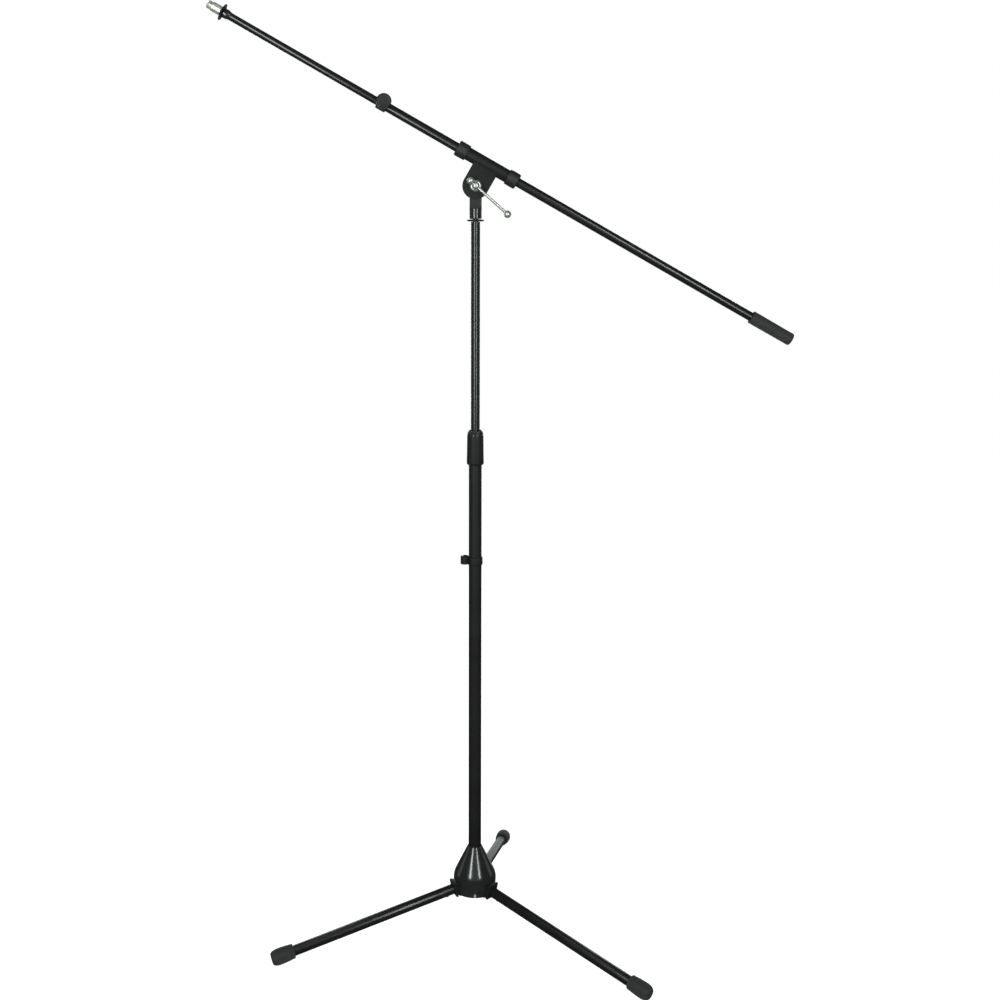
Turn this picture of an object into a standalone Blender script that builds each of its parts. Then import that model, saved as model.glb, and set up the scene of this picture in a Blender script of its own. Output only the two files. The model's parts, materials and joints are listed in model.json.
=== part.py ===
"""Boom microphone stand: a three-legged base, a two-part column with a twist clutch, and a telescopic boom.

Every size and place is in millimetres, and the helpers turn it into Blender's metres.
The stand is modelled round the column's axis, standing on Z = 0, with the tip of the boom towards -X.
place_on_origin then moves the whole stand so that the origin is the middle of its footprint.
"""

import math

import bmesh
import bpy
from mathutils import Vector

MM = 0.001
GAP = 0.3  # clearance between pieces that touch or slide
MERGE = 1e-6  # metres
WELD = 1e-5  # metres

# Legs
LEG_NAMES = ("rear", "left", "right")
FIRST_LEG_AZIMUTH = 80.0  # degrees from +X
LEG_SLOPE = math.radians(12.2)
FOOT_REACH = 378.0  # column axis to the middle of a foot's end
HINGE_R = 30.0  # column axis to a leg's hinge pin
LEG_OFFSET = 7.6  # a leg tube's axis above its hinge pin
LEG_TUBE_R = 9.1
LEG_WALL = 1.0
PLATE_FACE = 6.0  # hinge pin to the back of the flange plate
PLATE_THICKNESS = 4.5
PLATE_HALF_WIDTH = 13.0
PLATE_LOW, PLATE_HIGH = -4.2, 21.8  # from the hinge pin, square to the leg
TONGUE_HALF_WIDTH = 5.0
TONGUE_R = 5.2
TONGUE_TOP = 12.0
LEG_PIN_R = 2.5
SPIGOT_LENGTH = 28.0
RIVET_R = 1.9
RIVET_FROM_PLATE = 14.0
FOOT_LENGTH = 40.0
FOOT_OUTLINE = ((0.0, 9.6), (1.5, 11.3), (5.0, 13.0), (12.0, 14.1), (22.0, 13.9), (FOOT_LENGTH, 12.4))

# Base hub
HUB_BASE_Z = 76.0
HUB_TOP_Z = 161.5
HUB_R = 38.4
HUB_BOSS_R = 15.6
HUB_FLOOR_Z = 70.5  # underside of the boss that the column stands in
SET_SCREW_Z = 81.0
SET_SCREW_END = 36.6  # from the column axis
EAR_HALF_WIDTH = 11.0
EAR_R = PLATE_FACE - GAP
EAR_PAD_TOP = 19.5  # from the hinge pin

# Column
LOWER_TUBE_R = 11.4
LOWER_TUBE_BORE = 10.3
LOWER_TUBE_FOOT_Z = 76.3
LOWER_TUBE_TOP_Z = 905.0
CLUTCH_BASE_Z = 863.7
CLUTCH_TOP_Z = 925.3
UPPER_TUBE_R = 7.95
UPPER_TUBE_BORE = 6.95
UPPER_TUBE_FOOT_Z = 580.0
UPPER_TUBE_TOP_Z = 1290.0
MAST_BUSH_LENGTH = 20.0
STUD_R = 4.6
STUD_TOP_Z = 1311.0
CLIP_BASE_Z = 683.5
CLIP_HEIGHT = 13.8
CLIP_HOOK_X = -18.6
MOUTH_TURN = (0.0, 0.0, math.radians(45))  # the hook opens towards -X and +Y

# Swivel head
PIVOT_Z = 1351.8
NECK_R = 10.7
NECK_BASE_Z = 1294.9
NECK_TOP_Z = 1313.5
SWIVEL_R = 22.4
SWIVEL_HALF = 5.6
TONGUE_HALF = 10.6  # the flat tongue between the neck and the disc, along X
FRICTION_DISC_THICKNESS = 1.1
CHEEK_R = 23.0
CHEEK_THICKNESS = 1.8
CHEEK_INNER = SWIVEL_HALF + FRICTION_DISC_THICKNESS + 2 * GAP
CHEEK_OUTER = CHEEK_INNER + CHEEK_THICKNESS
SCREW_R = 3.9
SCREW_HEAD_R = 5.3
BAR_DEPTH = 22.0  # pivot to the tommy bar, towards -Y
BAR_R = 2.5
BAR_SLOPE = math.radians(41.8)
BALL_R = 6.5
UPPER_BALL, LOWER_BALL = -12.2, 73.4  # along the bar, from the screw

# Boom, measured along its axis from the pivot, positive towards the rear grip
BOOM_TILT = math.radians(29.68)
BOOM_HEIGHT = 41.25  # pivot to the boom's axis
SLEEVE_R = 11.4
SLEEVE_BORE = 9.6
SLEEVE_HALF = 39.5
BUSH_R = 13.9
BUSH_END = 60.0
OUTER_TUBE_R = 8.0
OUTER_TUBE_BORE = 7.0
OUTER_TUBE_FRONT = -203.0
OUTER_TUBE_REAR = 603.5
COLLAR_FRONT, COLLAR_REAR = -216.7, -198.7
COLLAR_R = 11.0
KNOB_X = -206.9
KNOB_TURN = math.radians(12.6)  # the knob points this far above -Y
KNOB_R = 13.2
GRIP_FRONT, GRIP_REAR = 531.0, 612.5
INNER_TUBE_R = 6.7
INNER_TUBE_BORE = 5.7
INNER_TUBE_FRONT = -506.3
INNER_TUBE_REAR = -100.0
INNER_BUSH_LENGTH = 12.0
FERRULE_FRONT = -518.4
TIP_DISC_R = 15.2
ADAPTER_FRONT, ADAPTER_REAR = -549.5, -523.5

# Colour, roughness, metallic
BLACK_PAINT = ((0.018, 0.019, 0.018), 0.35, 0.0)
BLACK_PLASTIC = ((0.03, 0.032, 0.03), 0.5, 0.0)
RUBBER = ((0.035, 0.036, 0.034), 0.75, 0.0)
CHROME = ((0.78, 0.8, 0.77), 0.12, 1.0)
NICKEL = ((0.72, 0.72, 0.68), 0.22, 1.0)
STEEL = ((0.42, 0.42, 0.42), 0.4, 1.0)
NYLON = ((0.75, 0.74, 0.7), 0.5, 0.0)

ALONG_X = (0.0, math.radians(90), 0.0)  # turns a piece's own Z to +X
TO_FRONT = (math.radians(90), 0.0, 0.0)  # turns a piece's own Z to -Y
CIRCLE_STEPS = 24
SMALL_STEPS = 16


def clear_scene():
    for old in list(bpy.data.objects):
        bpy.data.objects.remove(old, do_unlink=True)


def material(name, look):
    colour, roughness, metallic = look
    made = bpy.data.materials.new(name)
    made.use_nodes = True
    shader = made.node_tree.nodes["Principled BSDF"]
    shader.inputs["Base Color"].default_value = (*colour, 1.0)
    shader.inputs["Roughness"].default_value = roughness
    shader.inputs["Metallic"].default_value = metallic
    return made


def place(made, parent, at, turn):
    made.parent = parent
    made.location = Vector(at) * MM
    made.rotation_euler = turn
    return made


def empty(name, parent=None, at=(0, 0, 0), turn=(0, 0, 0)):
    made = bpy.data.objects.new(name, None)
    bpy.context.collection.objects.link(made)
    return place(made, parent, at, turn)


def add(name, bm, look, parent, at, turn):
    """An object from a bmesh that is in millimetres."""
    bmesh.ops.remove_doubles(bm, verts=bm.verts, dist=MERGE / MM)
    bmesh.ops.recalc_face_normals(bm, faces=bm.faces)
    bmesh.ops.scale(bm, vec=(MM, MM, MM), verts=bm.verts)
    mesh = bpy.data.meshes.new(name)
    bm.to_mesh(mesh)
    bm.free()
    mesh.shade_smooth()
    mesh.set_sharp_from_angle(angle=math.radians(35))
    made = bpy.data.objects.new(name, mesh)
    bpy.context.collection.objects.link(made)
    if look:
        mesh.materials.append(material(name, look))
    return place(made, parent, at, turn)


def turned(name, outline, look, parent, at=(0, 0, 0), turn=(0, 0, 0), steps=CIRCLE_STEPS):
    """A solid turned about Z from (radius, height) points; an outline clear of the axis is a closed loop."""
    bm = bmesh.new()
    verts = [bm.verts.new((radius, 0, height)) for radius, height in outline]
    edges = [bm.edges.new(pair) for pair in zip(verts, verts[1:])]
    if all(radius > 0 for radius, height in outline):
        edges.append(bm.edges.new((verts[-1], verts[0])))
    bmesh.ops.spin(bm, geom=verts + edges, axis=(0, 0, 1), angle=2 * math.pi, steps=steps, use_merge=True)
    return add(name, bm, look, parent, at, turn)


def ring(name, bore, radius, low, high, look, parent, at=(0, 0, 0), turn=(0, 0, 0), steps=CIRCLE_STEPS):
    outline = ((bore, low), (radius, low), (radius, high), (bore, high))
    return turned(name, outline, look, parent, at, turn, steps)


def rod(name, radius, low, high, look, parent, at=(0, 0, 0), turn=(0, 0, 0), steps=SMALL_STEPS):
    return turned(name, ((0, low), (radius, low), (radius, high), (0, high)), look, parent, at, turn, steps)


def slab(name, outline, low, high, look, parent, at=(0, 0, 0), turn=(0, 0, 0)):
    """A flat outline of (x, z) points, extruded along Y from low to high."""
    bm = bmesh.new()
    face = bm.faces.new([bm.verts.new((x, low, z)) for x, z in outline])
    side = bmesh.ops.extrude_face_region(bm, geom=[face])["geom"]
    moved = [part for part in side if isinstance(part, bmesh.types.BMVert)]
    bmesh.ops.translate(bm, vec=(0, high - low, 0), verts=moved)
    return add(name, bm, look, parent, at, turn)


def block(name, low, high, look, parent, at=(0, 0, 0), turn=(0, 0, 0)):
    (x0, y0, z0), (x1, y1, z1) = low, high
    return slab(name, ((x0, z0), (x1, z0), (x1, z1), (x0, z1)), y0, y1, look, parent, at, turn)


def arc(radius, start, end, count, centre=(0.0, 0.0)):
    """Points on a circle, from one angle in degrees to another."""
    angles = [math.radians(start + (end - start) * i / count) for i in range(count + 1)]
    return [(centre[0] + radius * math.cos(a), centre[1] + radius * math.sin(a)) for a in angles]


def boolean(made, tool, operation):
    """Cuts or joins with a tool, which stays as a hidden wire object."""
    tool.hide_render = True
    tool.display_type = "WIRE"
    step = made.modifiers.new(tool.name, "BOOLEAN")
    step.operation = operation
    step.solver = "EXACT"
    step.object = tool
    weld = made.modifiers.new(f"{tool.name}_weld", "WELD")
    weld.merge_threshold = WELD
    return made


def cut(made, *tools):
    for tool in tools:
        boolean(made, tool, "DIFFERENCE")
    return made


def join(made, *tools):
    for tool in tools:
        boolean(made, tool, "UNION")
    return made


def soften(made, width):
    """A single chamfer on a piece's sharp edges."""
    step = made.modifiers.new("edges", "BEVEL")
    step.width = width * MM
    step.segments = 1
    step.limit_method = "ANGLE"
    step.angle_limit = math.radians(50)
    return made


# ---------------------------------------------------------------- legs and base hub


def foot_end_height():
    """The height of a foot's end centre at which its lowest point is on the floor."""
    return max(radius * math.cos(LEG_SLOPE) - back * math.sin(LEG_SLOPE) for back, radius in FOOT_OUTLINE)


def leg_reach():
    """The distance along a leg from its hinge pin to its foot's end."""
    return (FOOT_REACH - LEG_OFFSET * math.sin(LEG_SLOPE) - HINGE_R) / math.cos(LEG_SLOPE)


def hinge_height():
    return foot_end_height() + leg_reach() * math.sin(LEG_SLOPE) - LEG_OFFSET * math.cos(LEG_SLOPE)


def leg_azimuth(index):
    return math.radians(FIRST_LEG_AZIMUTH + 120.0 * index)


def leg_frame(stand, index):
    """An empty on the hinge pin: X runs out along the leg, Y along the pin."""
    azimuth = leg_azimuth(index)
    at = (HINGE_R * math.cos(azimuth), HINGE_R * math.sin(azimuth), hinge_height())
    return empty(f"leg_frame_{LEG_NAMES[index]}", stand, at, (0, LEG_SLOPE, azimuth))


def leg_knuckle(leg, frame):
    plate_front = PLATE_FACE + PLATE_THICKNESS
    plate = block(
        f"leg_knuckle_{leg}",
        (PLATE_FACE, -PLATE_HALF_WIDTH, PLATE_LOW),
        (plate_front, PLATE_HALF_WIDTH, PLATE_HIGH),
        BLACK_PLASTIC,
        frame,
    )
    soften(plate, 1.2)
    root = PLATE_FACE + 1
    tongue_outline = arc(TONGUE_R, 150, 270, 6) + [(root, PLATE_LOW + 1), (root, TONGUE_TOP), (2, TONGUE_TOP)]
    tongue = slab(f"tongue_{leg}", tongue_outline, -TONGUE_HALF_WIDTH, TONGUE_HALF_WIDTH, None, frame)
    spigot_r = LEG_TUBE_R - LEG_WALL - GAP
    spigot = rod(
        f"spigot_{leg}", spigot_r, plate_front - 1, plate_front + SPIGOT_LENGTH, None, frame,
        (0, 0, LEG_OFFSET), ALONG_X, CIRCLE_STEPS,
    )
    pin_bore = rod(f"tongue_bore_{leg}", LEG_PIN_R + GAP, -20, 20, None, frame, turn=TO_FRONT)
    join(plate, tongue, spigot)
    return cut(plate, pin_bore, rivet_bore(f"spigot_bore_{leg}", frame))


def rivet_bore(name, frame):
    at = (PLATE_FACE + PLATE_THICKNESS + RIVET_FROM_PLATE, 0, LEG_OFFSET)
    return rod(name, RIVET_R + GAP, -LEG_TUBE_R - 3, -1.5, None, frame, at, steps=12)


def leg_tube(leg, frame):
    start = PLATE_FACE + PLATE_THICKNESS + GAP
    end = leg_reach() - 4.5
    tube = ring(
        f"leg_tube_{leg}", LEG_TUBE_R - LEG_WALL, LEG_TUBE_R, start, end, BLACK_PAINT, frame,
        (0, 0, LEG_OFFSET), ALONG_X,
    )
    return cut(tube, rivet_bore(f"leg_tube_bore_{leg}", frame))


def leg_rivet(leg, frame):
    at = (PLATE_FACE + PLATE_THICKNESS + RIVET_FROM_PLATE, 0, LEG_OFFSET)
    head_low = -LEG_TUBE_R - GAP
    outline = (
        (0, -2.5), (RIVET_R, -2.5), (RIVET_R, head_low), (3.4, head_low),
        (3.0, head_low - 0.7), (1.6, head_low - 1.2), (0, head_low - 1.3),
    )
    return turned(f"leg_rivet_{leg}", outline, STEEL, frame, at, steps=12)


def leg_foot(leg, frame):
    outside = [(radius, -back) for back, radius in FOOT_OUTLINE]
    bore = LEG_TUBE_R + GAP
    outline = [(0, 0), *outside, (bore, -FOOT_LENGTH), (bore, -4.2), (0, -4.2)]
    return turned(f"leg_foot_{leg}", outline, RUBBER, frame, (leg_reach(), 0, LEG_OFFSET), ALONG_X)


def leg_pin(leg, frame):
    half = EAR_HALF_WIDTH - GAP
    return rod(f"leg_pin_{leg}", LEG_PIN_R, -half, half, STEEL, frame, turn=TO_FRONT, steps=12)


def hub_ear(stand, index):
    """The solid round one hinge pin, and the pad above it that stops the flange plate."""
    azimuth = leg_azimuth(index)
    at = (HINGE_R * math.cos(azimuth), HINGE_R * math.sin(azimuth), hinge_height())
    face = EAR_R / math.cos(LEG_SLOPE)
    pad_face = face + EAR_PAD_TOP * math.tan(LEG_SLOPE)
    outline = [(-15.5, 15), (3.5, 15), (3.5, EAR_PAD_TOP), (pad_face, EAR_PAD_TOP)]
    outline += arc(EAR_R, -math.degrees(LEG_SLOPE), -90, 5)
    outline.append((-15.5, -EAR_R))
    half = EAR_HALF_WIDTH
    return slab(f"hub_ear_{index}", outline, -half, half, None, stand, at, (0, 0, azimuth))


def hub_slot(stand, index):
    azimuth = leg_azimuth(index)
    half = TONGUE_HALF_WIDTH + GAP
    top = hinge_height() + TONGUE_TOP + 1.3
    low, high = (HINGE_R - 6.5, -half, 60), (60, half, top)
    return block(f"hub_slot_{index}", low, high, None, stand, turn=(0, 0, azimuth))


def hub_casting(stand, frames):
    outside = [
        (0, HUB_FLOOR_Z), (HUB_BOSS_R + 1, HUB_FLOOR_Z), (HUB_BOSS_R + 1, HUB_BASE_Z), (35.2, HUB_BASE_Z),
        (38.0, 92), (HUB_R, 100), (37.6, 108), (35.6, 115), (13.2, 160.4), (12.4, HUB_TOP_Z), (0, HUB_TOP_Z),
    ]
    hub = turned("hub_casting", outside, BLACK_PAINT, stand, steps=36)
    cavity = turned(
        "hub_cavity",
        ((HUB_BOSS_R, 60), (31.4, 60), (34.4, 99), (31.8, 112.5), (17.0, 142), (HUB_BOSS_R, 142)),
        None, stand, steps=36,
    )
    seat = rod("hub_seat", LOWER_TUBE_R + GAP, LOWER_TUBE_FOOT_Z - GAP, 200, None, stand, steps=CIRCLE_STEPS)
    bolt_bore = rod("hub_bolt_bore", 4.3, 50, 90, None, stand)
    cut(hub, cavity)
    join(hub, *[hub_ear(stand, i) for i in range(3)])
    cut(hub, seat, bolt_bore, *[hub_slot(stand, i) for i in range(3)])
    for leg, frame in zip(LEG_NAMES, frames):
        cut(hub, rod(f"hub_pin_bore_{leg}", LEG_PIN_R + GAP, -15, 15, None, frame, turn=TO_FRONT, steps=12))
    screw_bore = rod("hub_screw_bore", 2.8, 11, 50, None, stand, (0, 0, SET_SCREW_Z), TO_FRONT, 12)
    side_hole = rod("hub_side_hole", 2.0, 30, 50, None, stand, (8.5, 0, SET_SCREW_Z + 6.5), TO_FRONT, 12)
    return cut(hub, screw_bore, side_hole)


def hub_fasteners(stand):
    foot = LOWER_TUBE_FOOT_Z
    ring("column_plug", 4.2, 10.0, foot, foot + 18, STEEL, stand)
    ring("column_washer", 4.3, 11.5, HUB_FLOOR_Z - 2.0, HUB_FLOOR_Z - GAP, STEEL, stand)
    bolt = rod("column_bolt", 3.9, HUB_FLOOR_Z - 3.5, foot + 16, STEEL, stand)
    head = rod("column_bolt_head", 7.4, HUB_FLOOR_Z - 7.6, HUB_FLOOR_Z - 2.3, None, stand, steps=6)
    join(bolt, head)
    at = (0, 0, SET_SCREW_Z)
    screw = rod("hub_set_screw", 2.5, LOWER_TUBE_R + GAP, SET_SCREW_END, NICKEL, stand, at, TO_FRONT, 12)
    cut(screw, rod("hub_set_screw_socket", 1.3, SET_SCREW_END - 2, 40, None, stand, at, TO_FRONT, 6))


# ---------------------------------------------------------------- column


def lower_column(stand):
    ring("lower_tube", LOWER_TUBE_BORE, LOWER_TUBE_R, LOWER_TUBE_FOOT_Z, LOWER_TUBE_TOP_Z, BLACK_PAINT, stand)
    ring("clutch_socket", LOWER_TUBE_R + GAP, 13.0, CLUTCH_BASE_Z + 3.0, 896.5, STEEL, stand)
    bore = UPPER_TUBE_R + GAP
    top = LOWER_TUBE_TOP_Z
    outline = (
        (bore, top - 33), (10.0, top - 33), (10.0, top + GAP), (11.3, top + GAP),
        (11.3, top + 1.8), (8.8, top + 12.8), (bore, top + 12.8),
    )
    collet = turned("clutch_collet", outline, NYLON, stand)
    cut(collet, block("collet_slit", (-1, 4, top - 20), (1, 15, top + 30), None, stand))


def clutch_grip(stand):
    throat = UPPER_TUBE_R + 0.45
    base, top, tube_top = CLUTCH_BASE_Z, CLUTCH_TOP_Z, LOWER_TUBE_TOP_Z
    outline = (
        (11.8, base), (14.0, base), (15.1, base + 2.8), (14.25, top - 7.5), (13.3, top - 3.4), (10.6, top),
        (throat, top), (throat, top - 4.3), (11.8, tube_top + 2), (11.8, tube_top - 5.5),
        (13.3, tube_top - 7), (13.3, base + 2.4), (11.8, base + 2.4),
    )
    turned("clutch_grip", outline, BLACK_PLASTIC, stand, steps=32)


def cable_clip(stand):
    """A band round the tube and a C-shaped hook for a cable, open away from the tube."""
    high = CLIP_BASE_Z + CLIP_HEIGHT
    below, above = CLIP_BASE_Z - 20, high + 20
    side = (CLIP_HOOK_X, 0, 0)
    clip = rod("cable_clip", 13.3, CLIP_BASE_Z, high, BLACK_PLASTIC, stand, steps=CIRCLE_STEPS)
    hook = rod("clip_hook", 7.4, CLIP_BASE_Z + 0.8, high + 2.0, None, stand, side)
    tube_space = rod("clip_tube_space", LOWER_TUBE_R + GAP, below, above, None, stand, steps=CIRCLE_STEPS)
    channel = rod("clip_channel", 4.4, below, above, None, stand, side)
    mouth = block("clip_mouth", (-2.6, 0, below), (2.6, 20, above), None, stand, side, MOUTH_TURN)
    join(clip, hook)
    cut(clip, tube_space, channel, mouth)


def mast(stand):
    """The upper tube with the running bush at its foot, and the threaded stud at its top."""
    foot = UPPER_TUBE_FOOT_Z
    top = UPPER_TUBE_TOP_Z
    ring("upper_tube", UPPER_TUBE_BORE, UPPER_TUBE_R, foot, top, BLACK_PAINT, stand)
    ring("mast_bush", 5.3, 10.0, foot - GAP - MAST_BUSH_LENGTH, foot - GAP, NYLON, stand)
    head = foot - MAST_BUSH_LENGTH - 2 * GAP
    plug = (
        (0, head - 3), (8.5, head - 3), (8.5, head), (5.0, head), (5.0, foot + GAP), (6.6, foot + GAP),
        (6.6, foot + 20), (0, foot + 20),
    )
    turned("mast_end_plug", plug, BLACK_PLASTIC, stand)
    stud = (
        (0, top - 20), (6.6, top - 20), (6.6, top), (STUD_R, top), (STUD_R, STUD_TOP_Z - 1),
        (STUD_R - 1, STUD_TOP_Z), (0, STUD_TOP_Z),
    )
    turned("mast_stud", stud, STEEL, stand)
    disc = ((4.9, top + 0.5), (9.5, top + 0.5), (14.6, top + 1.6), (14.6, top + 3.2), (4.9, top + 4.4))
    turned("swivel_lock_disc", disc, BLACK_PAINT, stand, steps=32)


# ---------------------------------------------------------------- swivel head and clamp screw


def swivel_head(stand, head):
    """A round neck on the stud, and a flat tongue above it that ends in the disc between the cheeks."""
    neck = (
        (0, NECK_BASE_Z), (NECK_R - 0.6, NECK_BASE_Z), (NECK_R, NECK_BASE_Z + 0.6),
        (NECK_R, NECK_TOP_Z - 0.8), (NECK_R - 0.8, NECK_TOP_Z), (0, NECK_TOP_Z),
    )
    made = turned("swivel_head", neck, BLACK_PAINT, stand)
    half = SWIVEL_HALF
    tongue = block(
        "swivel_tongue", (-TONGUE_HALF, -half, NECK_TOP_Z - 3), (TONGUE_HALF, half, PIVOT_Z - 8), None, stand,
    )
    disc_outline = (
        (0, -half), (SWIVEL_R - 1, -half), (SWIVEL_R, 1 - half), (SWIVEL_R, half - 1), (SWIVEL_R - 1, half),
        (0, half),
    )
    disc = turned("swivel_disc_part", disc_outline, None, head, turn=TO_FRONT, steps=36)
    stud_bore = rod("swivel_stud_bore", STUD_R + GAP, 1280, STUD_TOP_Z + 1.5, None, stand)
    screw_bore = rod("swivel_screw_bore", SCREW_R + GAP, -20, 20, None, head, turn=TO_FRONT)
    join(made, tongue, disc)
    return cut(made, stud_bore, screw_bore)


def friction_discs(boom):
    low = SWIVEL_HALF + GAP
    for name, side in (("front", 1), ("rear", -1)):
        ends = sorted((side * low, side * (low + FRICTION_DISC_THICKNESS)))
        ring(f"friction_disc_{name}", SCREW_R + GAP, 20.5, *ends, NYLON, boom, turn=TO_FRONT)


def clamp_strap(boom):
    """The sleeve round the boom and the two cheeks down to the pivot, folded from one strip."""
    axis = (0, 0, BOOM_HEIGHT)
    strap = rod("clamp_strap", SLEEVE_R, -SLEEVE_HALF, SLEEVE_HALF, BLACK_PAINT, boom, axis, ALONG_X, 36)
    cheek_outline = arc(CHEEK_R, 180, 360, 14) + [(CHEEK_R, BOOM_HEIGHT - 5), (-CHEEK_R, BOOM_HEIGHT - 5)]
    cheeks = slab("clamp_cheeks", cheek_outline, -CHEEK_OUTER, CHEEK_OUTER, None, boom)
    wide, narrow, floor, top = 30, CHEEK_R - 0.1, BOOM_HEIGHT - SLEEVE_R - 0.5, BOOM_HEIGHT - 5.5
    opening = (
        (-wide, -wide), (wide, -wide), (wide, floor), (narrow, floor), (narrow, top), (-narrow, top),
        (-narrow, floor), (-wide, floor),
    )
    inside = slab("clamp_inside", opening, -CHEEK_INNER, CHEEK_INNER, None, boom)
    bore = rod("clamp_bore", SLEEVE_BORE, -60, 60, None, boom, axis, ALONG_X, 36)
    slit = block("clamp_slit", (-60, -1.5, BOOM_HEIGHT - 20), (60, 1.5, BOOM_HEIGHT - 4), None, boom)
    screw_bore = rod("clamp_screw_bore", SCREW_R + GAP, -20, 20, None, boom, turn=TO_FRONT)
    join(strap, cheeks)
    cut(strap, inside, bore, slit, screw_bore)


def clamp_screw(head):
    """The screw, its sliding tommy bar and the balls on the bar, with the head towards -Y."""
    seat = CHEEK_OUTER + GAP
    outline = (
        (0, -18), (SCREW_R, -18), (SCREW_R, seat), (10.2, seat), (10.2, seat + 1.6), (8.4, seat + 3.8),
        (SCREW_HEAD_R, seat + 4.4), (SCREW_HEAD_R, BAR_DEPTH + 5.2), (4.0, BAR_DEPTH + 6.8),
        (0, BAR_DEPTH + 7.4),
    )
    screw = turned("clamp_screw", outline, CHROME, head, turn=TO_FRONT)
    bar_frame = empty("bar_frame", head, (0, -BAR_DEPTH, 0), (0, BAR_SLOPE, 0))
    cut(screw, rod("bar_bore", BAR_R + GAP, -15, 15, None, bar_frame, turn=ALONG_X))
    rod("tommy_bar", BAR_R, UPPER_BALL + 1, LOWER_BALL - 1, CHROME, bar_frame, turn=ALONG_X)
    for name, centre, side in (("upper", UPPER_BALL, 1), ("lower", LOWER_BALL, -1)):
        bore = BAR_R + GAP
        mouth = math.degrees(math.acos(bore / BALL_R))
        points = [(0, -BALL_R), *arc(BALL_R, -78, mouth, 8), (bore, 1 - GAP), (0, 1 - GAP)]
        ball = [(radius, centre + side * height) for radius, height in points]
        turned(f"tommy_ball_{name}", ball, CHROME, bar_frame, turn=ALONG_X, steps=20)
    nut = rod("clamp_nut", 8.6, -seat - 6.5, -seat, STEEL, head, turn=TO_FRONT, steps=6)
    cut(nut, rod("nut_bore", SCREW_R + GAP, -30, 0, None, head, turn=TO_FRONT))


# ---------------------------------------------------------------- boom


def boom_bushes(axis_frame):
    """The flanged plastic bushes in the two ends of the sleeve."""
    bore = OUTER_TUBE_R + GAP
    inside = SLEEVE_BORE - GAP
    start = SLEEVE_HALF + GAP
    outline = (
        (bore, 16), (inside, 16), (inside, start), (BUSH_R - 0.8, start), (BUSH_R, start + 1.2),
        (BUSH_R, BUSH_END - 1.8), (BUSH_R - 1.2, BUSH_END), (bore, BUSH_END),
    )
    for name, side in (("front", -1), ("rear", 1)):
        made = [(radius, side * along) for radius, along in outline]
        turned(f"boom_bush_{name}", made, BLACK_PLASTIC, axis_frame, turn=ALONG_X)


def knob_frame(axis_frame):
    """An empty on the boom's axis, with Z out along the knob's screw: towards -Y, and up."""
    return empty("knob_frame", axis_frame, (KNOB_X, 0, 0), (math.radians(90) - KNOB_TURN, 0, 0))


def boom_outer(axis_frame, knob):
    ring(
        "boom_outer_tube", OUTER_TUBE_BORE, OUTER_TUBE_R, OUTER_TUBE_FRONT, OUTER_TUBE_REAR,
        BLACK_PAINT, axis_frame, turn=ALONG_X,
    )
    step = OUTER_TUBE_FRONT - GAP
    bore = OUTER_TUBE_R + GAP
    outline = (
        (OUTER_TUBE_BORE, COLLAR_FRONT), (COLLAR_R - 0.8, COLLAR_FRONT), (COLLAR_R, COLLAR_FRONT + 0.8),
        (COLLAR_R, COLLAR_REAR - 0.8), (COLLAR_R - 0.8, COLLAR_REAR), (bore, COLLAR_REAR), (bore, step),
        (OUTER_TUBE_BORE, step),
    )
    collar = turned("boom_collar", outline, BLACK_PLASTIC, axis_frame, turn=ALONG_X)
    join(collar, rod("collar_boss", 5.6, 8.6, 14.0, None, knob))
    cut(collar, rod("collar_screw_bore", 3.3, 5, 20, None, knob))
    grip = (
        (0, OUTER_TUBE_REAR + GAP), (bore, OUTER_TUBE_REAR + GAP), (bore, GRIP_FRONT), (10.8, GRIP_FRONT),
        (11.6, GRIP_FRONT + 1.2), (11.3, GRIP_REAR - 30), (11.2, GRIP_REAR - 2.4), (9.6, GRIP_REAR),
        (0, GRIP_REAR),
    )
    turned("rear_grip", grip, RUBBER, axis_frame, turn=ALONG_X)


def boom_knob(knob):
    outline = (
        (0, 25.0), (3.3, 25.0), (3.3, 15.0), (7.0, 15.0), (8.0, 16.6), (KNOB_R - 1.0, 17.6), (KNOB_R, 19.2),
        (KNOB_R, 26.6), (KNOB_R - 1.6, 28.9), (KNOB_R - 3.6, 29.6), (0, 29.6),
    )
    turned("boom_knob", outline, BLACK_PLASTIC, knob)
    rod("knob_screw", 3.0, 8.9, 24.7, STEEL, knob, steps=12)
    rod("pressure_pad", 2.9, INNER_TUBE_R + 0.35, 8.6, NYLON, knob, steps=12)


def boom_inner(axis_frame):
    rear = INNER_TUBE_REAR
    ring(
        "boom_inner_tube", INNER_TUBE_BORE, INNER_TUBE_R, INNER_TUBE_FRONT, rear, BLACK_PAINT, axis_frame,
        turn=ALONG_X,
    )
    bush_end = rear + GAP + INNER_BUSH_LENGTH
    ring("inner_bush", 4.3, INNER_TUBE_R, rear + GAP, bush_end, NYLON, axis_frame, turn=ALONG_X)
    plug = (
        (0, rear - 15), (5.4, rear - 15), (5.4, rear - GAP), (4.0, rear - GAP), (4.0, bush_end + GAP),
        (6.2, bush_end + GAP), (6.2, bush_end + 2.6), (0, bush_end + 2.6),
    )
    turned("inner_end_plug", plug, BLACK_PLASTIC, axis_frame, turn=ALONG_X, steps=SMALL_STEPS)


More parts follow.
